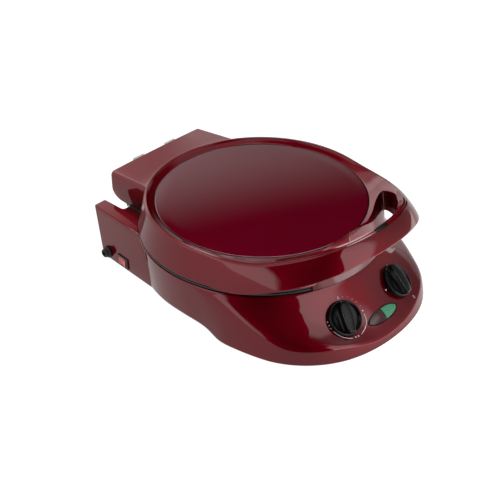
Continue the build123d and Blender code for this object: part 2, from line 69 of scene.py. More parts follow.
def smooth(x, xs, ys):
    n = len(xs)
    d = [(ys[i + 1] - ys[i]) / (xs[i + 1] - xs[i]) for i in range(n - 1)]
    m = [0.0] * n
    m[-1] = d[-1]
    for i in range(1, n - 1):
        if d[i - 1] * d[i] > 0:
            m[i] = 2 * d[i - 1] * d[i] / (d[i - 1] + d[i])
    x = min(max(x, xs[0]), xs[-1])
    for i in range(n - 1):
        if x <= xs[i + 1]:
            h = xs[i + 1] - xs[i]
            t = (x - xs[i]) / h
            return ((2 * t**3 - 3 * t**2 + 1) * ys[i] + (t**3 - 2 * t**2 + t) * h * m[i]
                    + (-2 * t**3 + 3 * t**2) * ys[i + 1] + (t**3 - t**2) * h * m[i + 1])
    return ys[-1]


def step(x, a, b):
    t = min(max((x - a) / (b - a), 0.0), 1.0)
    return t * t * (3 - 2 * t)


def polar(r, phi, z):
    a = math.radians(phi)
    return (r * math.sin(a), -r * math.cos(a), z)


_section = {}


def base_section(p):
    p = round(abs(p), 5)
    if p not in _section:
        _section[p] = (smooth(p, PH, RB), smooth(p, PH, RC), smooth(p, PH, ZC), smooth(p, PH, SWOOP))
    return _section[p]


def base_radius(phi, z):
    rb, rc, zc, sw = base_section(phi)
    z = min(max(z, 2.0), Z_RIM)
    if z <= zc:
        return rb + (rc - rb) * (z - 2.0) / (zc - 2.0)
    target = (Z_RIM - z) / (Z_RIM - zc)
    lo, hi = 0.0, 1.0
    for _ in range(30):
        s = (lo + hi) / 2
        if s + sw * math.sin(math.pi * s) < target:
            lo = s
        else:
            hi = s
    return R_RIM + (rc - R_RIM) * (lo + hi) / 2


def panel_z(x, y):
    r, phi = math.hypot(x, y), math.degrees(math.atan2(x, -y))
    rb, rc, zc, sw = base_section(phi)
    s = (r - R_RIM) / (rc - R_RIM)
    return Z_RIM - (Z_RIM - zc) * (s + sw * math.sin(math.pi * min(max(s, 0.0), 1.0)))


def panel_frame(x, y):
    e = 6.0
    zx = (panel_z(x + e, y) - panel_z(x - e, y)) / (2 * e)
    zy = (panel_z(x, y + e) - panel_z(x, y - e)) / (2 * e)
    return Vector((x, y, panel_z(x, y))), Vector((-zx, -zy, 1.0)).normalized()


class Local:
    """A local frame: origin, u to the user's right, v up the panel, n outwards."""
    def __init__(self, o, n, x_hint=(1, 0, 0)):
        self.o, self.n = Vector(o), Vector(n).normalized()
        h = Vector(x_hint)
        self.u = (h - self.n * h.dot(self.n)).normalized()
        self.v = self.n.cross(self.u)

    def at(self, a, b, c=0.0):
        return self.o + self.u * a + self.v * b + self.n * c

    def of(self, p):
        d = Vector(p) - self.o
        return d.dot(self.u), d.dot(self.v), d.dot(self.n)


_kp, _kn = panel_frame(-KNOB_X, KNOB_Y)
KL = Local(_kp, _kn, (1, 0, -_kn.x / _kn.z))
KR = Local((-_kp.x, _kp.y, _kp.z), (-_kn.x, _kn.y, _kn.z), (1, 0, _kn.x / _kn.z))
_lp, _ln = panel_frame(0.8, LENS_Y)
KN = Local(_lp, _ln)


SKIN = {}


def keep_skin(ob, key):
    """Keeps the smoothed surface of a piece, for parts that lie on it."""
    bpy.context.view_layer.update()
    SKIN[key] = BVHTree.FromObject(ob, bpy.context.evaluated_depsgraph_get())


def on_skin(key, q, n, lift=0.0):
    o = Vector(((q[0] + n.x * 14) / 1000, (q[1] + n.y * 14 + YS) / 1000, (q[2] + n.z * 14) / 1000))
    hit = SKIN[key].ray_cast(o, -n, 0.05)[0]
    if hit is None:
        return Vector(q) + n * lift
    return Vector((hit.x * 1000, hit.y * 1000 - YS, hit.z * 1000)) + n * lift


def on_panel(k, a, b, lift=0.0):
    """Point of the finished panel under (a, b) of a local frame, lifted along its normal."""
    return on_skin("base", k.at(a, b), k.n, lift)


# ------------------------------------------------------------------ mesh helpers
def mesh_object(name, verts, faces, mat, body, replaces=(), slot=None, subsurf=0, weld=None, sharp=None,
                bevel=None, crease=None):
    me = bpy.data.meshes.new(name)
    me.from_pydata([(v[0] / 1000, (v[1] + YS) / 1000, v[2] / 1000) for v in verts], [], faces)
    bm = bmesh.new()
    bm.from_mesh(me)
    if weld:
        bmesh.ops.remove_doubles(bm, verts=bm.verts, dist=weld / 1000)
    bmesh.ops.dissolve_degenerate(bm, dist=1e-7, edges=bm.edges)
    bmesh.ops.recalc_face_normals(bm, faces=bm.faces)
    bm.to_mesh(me)
    bm.free()
    ob = bpy.data.objects.new(name, me)
    bpy.context.scene.collection.objects.link(ob)
    me.materials.append(mat)
    me.shade_smooth()
    if sharp is not None:
        me.set_sharp_from_angle(angle=math.radians(sharp))
    if bevel:
        b = ob.modifiers.new("edge", "BEVEL")
        b.width, b.segments, b.limit_method, b.angle_limit = bevel / 1000, 3, "ANGLE", math.radians(38)
        b.harden_normals = True
    if subsurf:
        s = ob.modifiers.new("smooth", "SUBSURF")
        s.levels = s.render_levels = subsurf
    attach(ob, body)
    if replaces:
        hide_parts(*replaces)
    return ob


def loop_grid(rows, closed_rows=False, closed_loop=True):
    """Faces over rows of equal point lists."""
    verts = [p for row in rows for p in row]
    n, m = len(rows), len(rows[0])
    faces = []
    for i in range(n if closed_rows else n - 1):
        a, b = i * m, ((i + 1) % n) * m
        for j in range(m if closed_loop else m - 1):
            k = (j + 1) % m
            faces.append((a + j, a + k, b + k, b + j))
    return verts, faces


class Build:
    def __init__(self):
        self.v, self.f = [], []

    def add(self, verts, faces):
        o = len(self.v)
        self.v += [tuple(p) for p in verts]
        self.f += [tuple(i + o for i in f) for f in faces]

    def poly(self, pts):
        self.add(pts, [tuple(range(len(pts)))])

    def tube(self, rows, cap=True, closed=False):
        v, f = loop_grid(rows, closed_rows=closed)
        self.add(v, f)
        if cap and not closed:
            self.poly(rows[0][::-1])
            self.poly(rows[-1])


def revolve(profile, n=96, phi0=-180.0, phi1=180.0):
    full = abs(phi1 - phi0 - 360) < 1e-6
    cols = n if full else n + 1
    rows = [[polar(r, phi0 + (phi1 - phi0) * i / n, z) for r, z in profile] for i in range(cols)]
    return rows, full


# ------------------------------------------------------------------ materials
class Mat:
    """Small helper to wire a node material."""
    def __init__(self, name):
        self.m = bpy.data.materials.new(name)
        self.m.use_nodes = True
        self.t = self.m.node_tree
        self.t.nodes.clear()
        self.out = self.t.nodes.new("ShaderNodeOutputMaterial")
        self.p = self.t.nodes.new("ShaderNodeBsdfPrincipled")
        self.t.links.new(self.p.outputs[0], self.out.inputs[0])
        self.co = self.t.nodes.new("ShaderNodeTexCoord").outputs["Object"]

    def node(self, kind, **values):
        n = self.t.nodes.new(kind)
        for k, v in values.items():
            if hasattr(n, k):
                setattr(n, k, v)
            else:
                n.inputs[k].default_value = v
        return n

    def link(self, a, b):
        self.t.links.new(a, b)

    def scaled(self, s):
        mp = self.node("ShaderNodeMapping")
        mp.inputs["Scale"].default_value = s if hasattr(s, "__len__") else (s, s, s)
        self.link(self.co, mp.inputs["Vector"])
        return mp.outputs[0]

    def noise(self, scale, detail=3.0, rough=0.5, vec=None):
        n = self.node("ShaderNodeTexNoise")
        n.inputs["Scale"].default_value = scale
        n.inputs["Detail"].default_value = detail
        n.inputs["Roughness"].default_value = rough
        self.link(vec or self.co, n.inputs["Vector"])
        return n.outputs["Fac"]

    def ramp(self, fac, stops):
        r = self.node("ShaderNodeValToRGB")
        e = r.color_ramp.elements
        while len(e) < len(stops):
            e.new(0.5)
        for el, (pos, col) in zip(e, stops):
            el.position = pos
            el.color = (*col, 1.0) if len(col) == 3 else col
        self.link(fac, r.inputs[0])
        return r.outputs[0]

    def span(self, fac, lo, hi):
        r = self.node("ShaderNodeMapRange")
        r.inputs["To Min"].default_value = lo
        r.inputs["To Max"].default_value = hi
        self.link(fac, r.inputs["Value"])
        return r.outputs[0]

    def bump(self, height, strength, dist):
        b = self.node("ShaderNodeBump")
        b.inputs["Strength"].default_value = strength
        b.inputs["Distance"].default_value = dist
        self.link(height, b.inputs["Height"])
        self.link(b.outputs[0], self.p.inputs["Normal"])
        return b

    def set(self, **kw):
        for k, v in kw.items():
            self.p.inputs[k.replace("_", " ")].default_value = v
        return self


def lacquer(name, dark, light, rough=0.42, coat=0.6):
    """Glossy metallic lacquer: coloured metallic base with fine flake under a clear coat."""
    m = Mat(name)
    flake = m.node("ShaderNodeTexVoronoi")
    flake.inputs["Scale"].default_value = 2600.0
    m.link(m.co, flake.inputs["Vector"])
    col = m.ramp(m.noise(9.0, 2.0), [(0.3, dark), (0.75, light)])
    mix = m.node("ShaderNodeMixRGB", blend_type="MULTIPLY")
    mix.inputs[0].default_value = 0.3
    m.link(col, mix.inputs[1])
    m.link(m.ramp(flake.outputs["Color"], [(0.0, (0.75, 0.75, 0.75)), (1.0, (1.25, 1.2, 1.2))]), mix.inputs[2])
    m.link(mix.outputs[0], m.p.inputs["Base Color"])
    m.link(m.span(m.noise(320.0, 2.0), rough - 0.04, rough + 0.05), m.p.inputs["Roughness"])
    m.bump(m.noise(38.0, 2.0), 0.015, 0.0005)
    m.set(Metallic=1.0, Specular_Tint=(0.5, 0.46, 0.46, 1.0), Coat_Weight=coat, Coat_Roughness=0.02, Coat_IOR=1.5)
    return m.m


RED = lacquer("lacquer_red", (0.096, 0.0003, 0.0042), (0.108, 0.0005, 0.0050), 0.48)
# darker copy of the red lacquer: painted shade for the apron tucked under the lid's rim
RED_SHADED = lacquer("lacquer_painted_shade", (0.040, 0.0002, 0.0020), (0.052, 0.0003, 0.0026), 0.45)
RED_DISC = lacquer("lacquer_disc", (0.054, 0.0002, 0.0050), (0.062, 0.0003, 0.0058), 0.44)


def plastic(name, c0, c1, rough, grain=900.0, bump=0.12, dist=0.0001, coat=0.0, spec=0.5):
    m = Mat(name)
    m.link(m.ramp(m.noise(22.0, 4.0), [(0.3, c0), (0.7, c1)]), m.p.inputs["Base Color"])
    m.link(m.span(m.noise(160.0, 3.0), max(rough - 0.06, 0.02), rough + 0.06), m.p.inputs["Roughness"])
    m.bump(m.noise(grain, 3.0), bump, dist)
    m.set(Coat_Weight=coat, Coat_Roughness=0.05)
    m.p.inputs["Specular IOR Level"].default_value = spec
    return m.m


BLACK_GLOSS = plastic("black_gloss", (0.0016, 0.0016, 0.0018), (0.0024, 0.0024, 0.0027), 0.24, 90.0, 0.0, 0.00008, 0.0, 0.14)
# lighter grey plastic, used only for the painted highlight lines on the knob edges
EDGE_HIGHLIGHT = plastic("painted_edge_highlight", (0.035, 0.035, 0.036), (0.045, 0.045, 0.047), 0.3, 300.0, 0.0, 0.00008, 0.0, 0.5)
BLACK_SATIN = plastic("black_satin", (0.010, 0.010, 0.0105), (0.017, 0.017, 0.018), 0.46, 1500.0, 0.25, 0.00012)
RUBBER_BLACK = plastic("rubber_black", (0.008, 0.008, 0.008), (0.014, 0.014, 0.014), 0.68, 1100.0, 0.3, 0.00015, 0.0, 0.35)
RUBBER_GREY = plastic("rubber_grey", (0.30, 0.30, 0.305), (0.38, 0.38, 0.385), 0.6, 1000.0, 0.25, 0.00012, 0.0, 0.35)
CERAMIC = plastic("control_housing", (0.55, 0.52, 0.45), (0.66, 0.63, 0.56), 0.5, 700.0, 0.15)
PRINT = plastic("dial_print", (0.46, 0.43, 0.43), (0.54, 0.51, 0.51), 0.5, 1500.0, 0.1)


def coating(name):
    m = Mat(name)
    spots = m.noise(1400.0, 2.0, 0.7)
    m.link(m.ramp(spots, [(0.45, (0.008, 0.008, 0.0085)), (0.62, (0.015, 0.015, 0.016)), (0.74, (0.05, 0.05, 0.052))]),
           m.p.inputs["Base Color"])
    m.link(m.span(m.noise(90.0, 4.0), 0.30, 0.42), m.p.inputs["Roughness"])
    m.bump(m.noise(900.0, 4.0), 0.18, 0.00012)
    m.set(Metallic=0.25)
    return m.m


def metal(name, c0, c1, rough, stretch=(4.0, 900.0, 900.0)):
    m = Mat(name)
    streak = m.noise(1.0, 4.0, 0.6, m.scaled(stretch))
    m.link(m.ramp(streak, [(0.3, c0), (0.7, c1)]), m.p.inputs["Base Color"])
    m.link(m.span(streak, rough - 0.08, rough + 0.1), m.p.inputs["Roughness"])
    m.bump(streak, 0.1, 0.00008)
    m.set(Metallic=1.0)
    return m.m


COATED = coating("non_stick")
STEEL = metal("steel", (0.36, 0.36, 0.37), (0.52, 0.52, 0.53), 0.3)
SHEET = metal("aluminised_sheet", (0.50, 0.50, 0.51), (0.66, 0.66, 0.67), 0.36, (60.0, 60.0, 700.0))


def clear(name, c0, c1, rough=0.06, painted_glow=None, alpha=1.0, trans=0.35, coat=1.0):
    m = Mat(name)
    m.link(m.ramp(m.noise(240.0, 3.0), [(0.35, c0), (0.65, c1)]), m.p.inputs["Base Color"])
    wave = m.node("ShaderNodeTexWave")
    wave.inputs["Scale"].default_value = 260.0
    wave.inputs["Distortion"].default_value = 1.5
    m.link(m.co, wave.inputs["Vector"])
    m.bump(wave.outputs["Fac"], 0.08, 0.0002)
    m.set(Roughness=rough, IOR=1.49, Transmission_Weight=trans, Coat_Weight=coat, Coat_Roughness=0.03)
    if coat < 1.0:
        m.set(Specular_IOR_Level=0.2)
    # painted glow: a faint emission that brightens a part in place of its sheen and reflections
    if painted_glow:
        m.p.inputs["Emission Color"].default_value = (*painted_glow[0], 1)
        m.p.inputs["Emission Strength"].default_value = painted_glow[1]
    return m.m


LENS_RED = clear("lens_red", (0.034, 0.006, 0.008), (0.070, 0.014, 0.017), coat=0.12)
# the green half gets a painted glow standing in for its bright sheen
LENS_GREEN = clear("lens_green", (0.018, 0.190, 0.090), (0.024, 0.230, 0.115), 0.12, ((0.03, 0.5, 0.22), 0.10))
LAMP = clear("lamp_glass", (0.65, 0.42, 0.25), (0.8, 0.6, 0.4), 0.05, trans=0.8)
# the rocker's faint red emission is a painted glow that brightens it
ROCKER = clear("rocker_red", (0.30, 0.010, 0.008), (0.50, 0.030, 0.018), 0.12, ((1.0, 0.05, 0.02), 0.05), coat=0.3)


# ------------------------------------------------------------------ base housing
def arch_z(y):
    """Height of the bottom edge along the side."""
    ys = [-66, -60, -48, -25, 5, 40, 66, 80, 86]
    zs = [2.0, 2.6, 6.8, 10.6, 12.5, 11.2, 6.4, 2.2, 2.0]
    return 2.0 if y < ys[0] or y > ys[-1] else max(2.0, smooth(y, ys, zs))


def base_column(phi):
    p = abs(phi)
    rb0, rc, zc, sw = base_section(p)
    zc2 = min(zc, 60.0)
    col = [(146.9, 66.8), (147.0, 68.6), (147.2, 69.3), (148.2, 69.5), (152.5, 69.5), (156.4, 69.5), (157.5, 69.35),
           (158.0, 68.7)]
    L = math.hypot(max(rc - R_RIM, 0.1), Z_RIM - zc2)
    for s in (0.035, 0.10, 0.18, 0.26, 0.34, 0.42, 0.50, 0.58, 0.66, 0.74, 0.82, 0.89):
        z = Z_RIM - (Z_RIM - zc2) * (s + sw * math.sin(math.pi * s))
        col.append((base_radius(p, min(z, 68.0 - s)), min(z, 68.0 - s)))
    # crease: short steps on both sides
    soft = 1.0 + 5.0 * step(p, 32, 62)
    for s in (1 - 4.0 * soft / L, 1 - 1.6 * soft / L):
        s = max(s, 0.905 if s < 1 - 3.0 * soft / L else 0.945)
        z = Z_RIM - (Z_RIM - zc2) * (s + sw * math.sin(math.pi * s))
        col.append((base_radius(p, z), z))
    zb = arch_z(-base_radius(p, 6.0) * math.cos(math.radians(phi)))
    h = zc2 - zb
    for dz in (min(1.6 * soft, h * 0.2), min(4.2 * soft, h * 0.42)):
        col.append((base_radius(p, zc2 - dz), zc2 - dz))
    top = zc2 - min(4.2 * soft, h * 0.42)
    for f in (0.35, 0.7):
        z = top + (zb + 2.6 - top) * f if top > zb + 2.6 else top - 0.2 * f
        col.append((base_radius(p, z), z))
    rb = base_radius(p, zb)
    col += [(base_radius(p, zb + 1.6), zb + 1.6), (rb - 0.15, zb + 0.5), (rb - 0.9, zb), (rb - 1.9, zb + 0.05),
            (rb - 2.5, zb + 0.6)]
    # the crease fades into a round flank towards the sides
    w = 0.5 * step(p, 20, 46)
    if w > 0:
        for _ in range(26):
            col = col[:12] + [tuple(b + w * ((a + c) / 2 - b) for a, b, c in zip(col[i - 1], col[i], col[i + 1]))
                              for i in range(12, 26)] + col[26:]
    for z in (max(zb + 4, 17.0), 38.0, 62.0):
        col.append((max(base_radius(p, z + 2.5) - 3.2 - 4.0 * w, 147.4), z))
    return col


def make_base():
    phis = []
    a = -180.0
    while a < 180.0 - 1e-6:
        phis.append(a)
        a += 1.5 if abs(a + 0.1) < 72 else (2.0 if abs(a) < 110 else 4.0)
    rows = []
    for phi in phis:
        row = []
        for k, (r, z) in enumerate(base_column(phi)):
            q = polar(r, phi, z)
            row.append(tuple(Vector(q)) if 8 <= k <= 22 and abs(phi) < 45 else q)
        rows.append(row)
    v, f = loop_grid(rows, closed_rows=True)
    return mesh_object("housing_shell", v, f, RED, "base", ["base_housing"], "housing_red", subsurf=1)


keep_skin(make_base(), "base")


# ------------------------------------------------------------------ lid
P0, PE, PC, RCC = 30.0, 43.2, 64.0, 153.0
HR0 = smooth(P0, HQ, HR)


def top_z(p, r):
    er, ez = smooth(p, HP, ER), smooth(p, HP, EZ)
    u = min(max((r - 135.6) / (er - 135.6), 0.0), 1.0)
    return 109.45 + (ez - 109.45) * u ** lerp(p, [0, 30, 50, 69, 80], [1.2, 1.15, 1.0, 1.0, 1.0])


def hole(p):
    """Inner and outer radius of the finger hole, how far its outer wall leans, and its depth."""
    if p >= PE:
        r = lerp(p, [PE, 48, 55, 64, 72, 90], [RCC, 150.4, 146.8, 143.8, 142.0, 141.5])
        z = top_z(p, r)
        return r, r, 0.18, lerp(p, [PE, 46, 51], [88.0, 100.0, z - 6.0]) if p < 51 else z - 6.0
    if p <= P0:
        return 142.0, smooth(p, HQ, HR), 0.0, smooth(p, HQ, IZ)
    t = (p - P0) / (PE - P0)
    c = math.sqrt(max(1 - t * t, 0.0))
    return RCC - (RCC - 142.0) * c, RCC + (HR0 - RCC) * c ** 1.9, 0.18 * t * t, smooth(p, HQ, IZ)


def lid_chains(phi):
    p = abs(phi)
    er, ez, lr, lz = smooth(p, HP, ER), smooth(p, HP, EZ), smooth(p, HP, LR), smooth(p, HP, LZ)
    rin, rout, lean, iz = hole(p)
    T = lambda r: (r, top_z(p, r))
    I = [(133.0, 105.6), (135.45, 105.8), (135.5, 107.9), (135.55, 109.0), (136.0, 109.45), T(138.0),
         T(rin - 3.0), T(rin - 1.0)]
    zi = top_z(p, rin)
    line = lambda z: 158.0 - (158.0 - rin) * (z - 75.5) / (zi - 75.5)
    fr = (0.0, 0.035, 0.10, 0.35, 0.65, 0.95, 1.0)
    FI = [(line(zi + (iz - zi) * f), zi + (iz - zi) * f) for f in fr]
    zo = top_z(p, rout)
    FO = [(rout + lean * (zo - iz) * f, zo + (iz - zo) * f) for f in fr]
    if p >= PE - 1e-6:
        FO = FI
    a = er - rout
    b = min(3.3, 0.5 * a)                      # the crest is a narrow band that leans outwards
    zt = min(max(top_z(p, er - b), ez - 0.35), ez + 0.1)
    O = [T(rout + min(1.0, 0.15 * a)), (er - b - 0.35, zt - 0.3), (er - b, zt), (er - b + 0.3, zt - 0.045),
         (er - 0.75, zt - 0.15 * (b - 0.75)), (er - 0.45, zt - 0.15 * (b - 0.45) - 0.02), (er - 0.03, zt - 0.16 * b - 0.5)]
    A, B = Vector((er, ez)), Vector((lr, lz))
    M = Vector(((er + lr) / 2 + 1.2 * step(90 - p, 10, 30), (ez + lz) / 2 + 1.2 * step(90 - p, 10, 30)))
    C = 2 * M - (A + B) / 2
    bez = lambda t: A * (1 - t) ** 2 + C * 2 * t * (1 - t) + B * t * t
    tan = lambda t: ((C - A) * (1 - t) + (B - C) * t).normalized()
    L = (B - A).length
    for t in (2.6 / L, 4.4 / L, 0.28, 0.52, 0.76, 1 - 2.6 / L, 1 - 0.9 / L):
        O.append(tuple(bez(t)))
    O += [(lr - 0.25, lz - 0.35)]
    n_out = len(O)
    O += [(lr - 1.9, lz - 0.5)]

    def inner(t, d):
        q, g = bez(t), tan(t)
        return (q.x + g.y * d, q.y - g.x * d)
    O += [inner(1 - 1.6 / L, 2.3), inner(0.76, 2.4), inner(0.52, 2.4), inner(0.28, 2.4)]
    back = FO[-1][0] + 2.3 - lean * (zo - iz)
    ur = max(er - 2.7, rout + 3.6)
    O += [(ur, ez - 5.2), (ur - 0.5, min(ez - 3.9, top_z(p, ur) - 2.6)), (rout + 2.9, top_z(p, rout + 2.6) - 2.6),
          (rout + 2.35, top_z(p, rout + 2.3) - 3.6)]
    if p < PE:
        O += [(rout + 2.3 + lean * (zo - iz) * 0.5, (zo + iz) / 2), (FO[-1][0] + 2.2, iz + 1.0),
              (FO[-1][0] + 1.6, iz + 0.05)]
    else:
        zt = top_z(p, rout + 2.3) - 3.6
        O += [(line((zt + iz) / 2) + 2.3, (zt + iz) / 2), (line(iz) + 2.2, iz + 1.0), (line(iz) + 1.6, iz + 0.05)]
    Fk = FI[-1]
    W = []
    for f in (0.35, 0.7, 0.94):
        z = Fk[1] + (76.6 - Fk[1]) * f
        W.append((line(z), z))
    W += [(158.0, 75.75)]
    n_w = len(W)
    rt, zt = (lerp(p, [0, 60, 80], [rin if p < 60 else hole(60)[0], hole(60)[0], 146.5]),
              lerp(p, [0, 60, 80], [zi if p < 60 else top_z(60, hole(60)[0]), top_z(60, hole(60)[0]), 115.5]))
    if p < 60:
        rt, zt = rin, zi
    ins = lambda z: 158.0 - (158.0 - rt) * (z - 75.5) / (zt - 75.5) - 2.6
    W += [(156.9, 75.5), (155.8, 75.55), (155.3, 76.4)]
    for z in (88.0, 99.0, 105.5):
        W.append((ins(z), z))
    W += [(138.4, 105.0), (133.6, 104.6)]
    return I, FI, FO, O, W, n_out, n_w


def make_lid():
    B = Build()

    def pts(phi, chain):
        return [polar(r, phi, z) for r, z in chain]

    inner_phis = [i * 3.0 for i in range(0, 10)] + \
        [P0 + (PE - P0) * math.sin(math.radians(x)) for x in (0, 12, 24, 36, 47, 57, 66, 74, 81, 86, 90)]
    inner_phis = sorted(set([-q for q in inner_phis] + inner_phis))
    rows_i, rows_o = [], []
    for phi in inner_phis:
        I, FI, FO, O, W, n_out, n_w = lid_chains(max(-PE, min(PE, phi)))
        rows_i.append(pts(phi, I + FI + W))
        rows_o.append(pts(phi, [FO[0]] + O + FO[:0:-1]))
    for rows in (rows_i, rows_o):
        v, f = loop_grid(rows)
        B.add(v, f)
    side = [PE, 44.3, 45.8, 48, 50.5, 53.5, 57, 60.5, 64.0]
    for s in (-1, 1):
        rows = []
        for q in side:
            I, FI, FO, O, W, n_out, n_w = lid_chains(s * q)
            rows.append(pts(s * q, I + [FI[0]] + O + [FI[-1]] + W))
        v, f = loop_grid(rows)
        B.add(v, f)
        I, FI, FO, O, W, n_out, n_w = lid_chains(s * PC)
        cav = pts(s * PC, O[n_out:] + [FI[-1]] + W[:n_w])
        i, j = 0, len(cav) - 1
        while j - i > 1:
            quad = [cav[i], cav[i + 1], cav[j - 1], cav[j]]
            if i + 1 == j - 1:
                quad = [cav[i], cav[i + 1], cav[j]]
            B.poly(quad)
            i, j = i + 1, j - 1
        out_end = pts(s * PC, [O[n_out - 1]])[0]
        lip = pts(s * PC, [W[n_w]])[0]
        B.poly([out_end, cav[0], cav[-1], lip])
    plain = [64.0, 66.5, 69, 72, 76, 80] + [84 + 4 * i for i in range(24)] + [180.0]
    plain = plain + [360 - q for q in plain[-2::-1]]
    rows = []
    for q in plain:
        phi = q if q <= 180 else q - 360
        I, FI, FO, O, W, n_out, n_w = lid_chains(phi)
        rows.append(pts(phi, I + [FI[0]] + O[:n_out] + W[n_w:]))
    v, f = loop_grid(rows)
    B.add(v, f)
    ob = mesh_object("lid_moulding", B.v, B.f, RED, "lid", ["lid_shell"], "housing_red", subsurf=2, weld=0.02)

    # apron: the wall that closes the gap at the front
    prof = [(156.0, 71.0), (156.4, 70.8), (159.2, 70.8), (159.6, 71.1), (159.1, 72.6), (156.7, 79.4), (155.6, 79.8),
            (155.0, 78.5)]
    rows, _ = revolve(prof, 36, -25.6, 25.6)
    A = Build()
    A.tube(rows)
    # the apron takes the darker red copy as painted shade for its place in the gap
    mesh_object("lid_apron", A.v, A.f, RED_SHADED, "lid", (), "housing_red", sharp=40)
    return ob


keep_skin(make_lid(), "lid")

# disc
prof = [(0.0, 107.2), (134.6, 107.2), (135.0, 107.6), (135.1, 108.6), (134.95, 109.2), (134.5, 109.45), (133.6, 109.5),
        (120.0, 109.5), (80.0, 109.5), (40.0, 109.5), (0.0, 109.5)]
n = 160
D = Build()
rows, _ = revolve(prof[1:-1], n)
v, f = loop_grid(rows, closed_rows=True, closed_loop=False)
D.add(v, f)
D.poly([r[0] for r in rows][::-1])
D.poly([r[-1] for r in rows])
mesh_object("lid_disc_panel", D.v, D.f, RED_DISC, "lid", ["lid_disc"], "disc_red", weld=0.005, sharp=35)


# ------------------------------------------------------------------ handle insert
def skirt_point(x, dist, lift):
    """Point on the hoop's front edge: dist runs down over the crest, from its upper side."""
    phi = math.degrees(math.asin(x / 185.2))
    f = math.radians(phi)
    q = Vector(polar(smooth(abs(phi), HP, ER), phi, smooth(abs(phi), HP, EZ) - 0.5))
    n = Vector((math.sin(f) * 0.8, -math.cos(f) * 0.8, 0.6))
    g = Vector((math.sin(f) * 0.6, -math.cos(f) * 0.6, -0.8))
    return tuple(on_skin("lid", q + g * dist, n, lift))


def make_insert():
    B = Build()
    nx, nd = 15, 9
    lift = lambda i, j: 0.35 if 0 < i < nx - 1 and 0 < j < nd - 1 else -0.9
    xs = [-10.4, -10.2, -9.4] + [-9.4 + 20.4 * k / 10 for k in range(1, 10)] + [11.0, 11.8, 12.0]
    ds = [-1.6, -1.45, -0.9, -0.1, 0.7, 1.5, 2.3, 2.85, 3.0]
    rows = [[skirt_point(x, d, lift(i, j)) for j, d in enumerate(ds)] for i, x in enumerate(xs)]
    v, f = loop_grid(rows, closed_loop=False)
    B.add(v, f)
    under = [[skirt_point(x, d, -1.6) for d in ds] for x in xs]
    v, f = loop_grid(under, closed_loop=False)
    B.add(v, f)
    edge = [(0, j) for j in range(nd)] + [(i, nd - 1) for i in range(1, nx)] + \
        [(nx - 1, j) for j in range(nd - 2, -1, -1)] + [(i, 0) for i in range(nx - 2, 0, -1)]
    for k in range(len(edge)):
        a, b = edge[k], edge[(k + 1) % len(edge)]
        B.poly([rows[a[0]][a[1]], rows[b[0]][b[1]], under[b[0]][b[1]], under[a[0]][a[1]]])
    mesh_object("handle_insert_cap", B.v, B.f, BLACK_GLOSS, "lid", ["handle_insert"], "black_gloss", weld=0.01, sharp=40)


make_insert()


# ------------------------------------------------------------------ rear arms
def offset_loop(pts, d):
    """Moves a counter-clockwise loop of plan points inwards by d."""
    out = []
    n = len(pts)
    for i in range(n):
        a, b, c = Vector(pts[i - 1]), Vector(pts[i]), Vector(pts[(i + 1) % n])
        e0, e1 = (b - a).normalized(), (c - b).normalized()
        n0, n1 = Vector((-e0.y, e0.x)), Vector((-e1.y, e1.x))
        m = (n0 + n1).normalized()
        out.append(tuple(b + m * (d / max(m.dot(n0), 0.35))))
    return out


def arm_outline(z, side):
    """Plan outline of the left arm at a height, counter-clockwise, starting at the rear outer corner."""
    R = 149.3 + (158.0 - 149.3) * (z - 2.0) / 67.5 - 1.4
    rear = 173.5 + 12.5 * (z + 5) / 79.0
    ox = lambda y: -130.0 + (y - 84.0) / 101.0 * 8.7
    y = 84.0
    for _ in range(20):
        y = math.sqrt(max(R * R - ox(y) ** 2, 0.0))
    p1 = (ox(y), y)
    x2 = -92.0
    p2 = (x2, math.sqrt(R * R - x2 * x2))
    a1, a2 = math.atan2(p1[1], p1[0]), math.atan2(p2[1], p2[0])
    arc = [(R * math.cos(a1 + (a2 - a1) * k / 8), R * math.sin(a1 + (a2 - a1) * k / 8)) for k in range(9)]

    def rounded(c, pa, pb, r, n=4):
        c, pa, pb = Vector(c), Vector(pa), Vector(pb)
        u, w = (pa - c).normalized(), (pb - c).normalized()
        s, e = c + u * r, c + w * r
        return [tuple(s * (1 - k / n) ** 2 + c * 2 * (k / n) * (1 - k / n) + e * (k / n) ** 2) for k in range(n + 1)]
    c0, c1, c2 = (ox(rear), rear), (-102.0, rear), (-102.0, 150.0)
    c3 = (-92.0, 150.0)
    pts = rounded(c0, c1, arc[0], 3.2) + arc + rounded(c3, arc[-1], c2, 3.0, 3) + rounded(c2, c3, c1, 4.5, 4) \
        + rounded(c1, c2, c0, 3.2)
    if side > 0:
        pts = [(-x, y) for x, y in pts][::-1]
    area = sum(pts[i - 1][0] * pts[i][1] - pts[i][0] * pts[i - 1][1] for i in range(len(pts)))
    return pts if area > 0 else pts[::-1]


def make_arm(side):
    B = Build()
    rows = []
    for z, d in ((5.8, 2.4), (3.3, 2.4), (3.0, 2.1), (3.0, 0.7), (3.25, 0.15), (4.0, 0.0), (20.0, 0.0), (45.0, 0.0),
                 (66.0, 0.0), (72.3, 0.0), (73.2, 0.2), (73.8, 0.75), (74.0, 1.6)):
        pts = arm_outline(z, side)
        if d:
            pts = offset_loop(pts, d)
        rows.append([(x, y, z) for x, y in pts])
    B.tube(rows)
    name = "left" if side < 0 else "right"
    mesh_object("arm_" + name, B.v, B.f, RED, "base", ["rear_arm_" + name], "housing_red", sharp=42)


make_arm(-1)
make_arm(1)


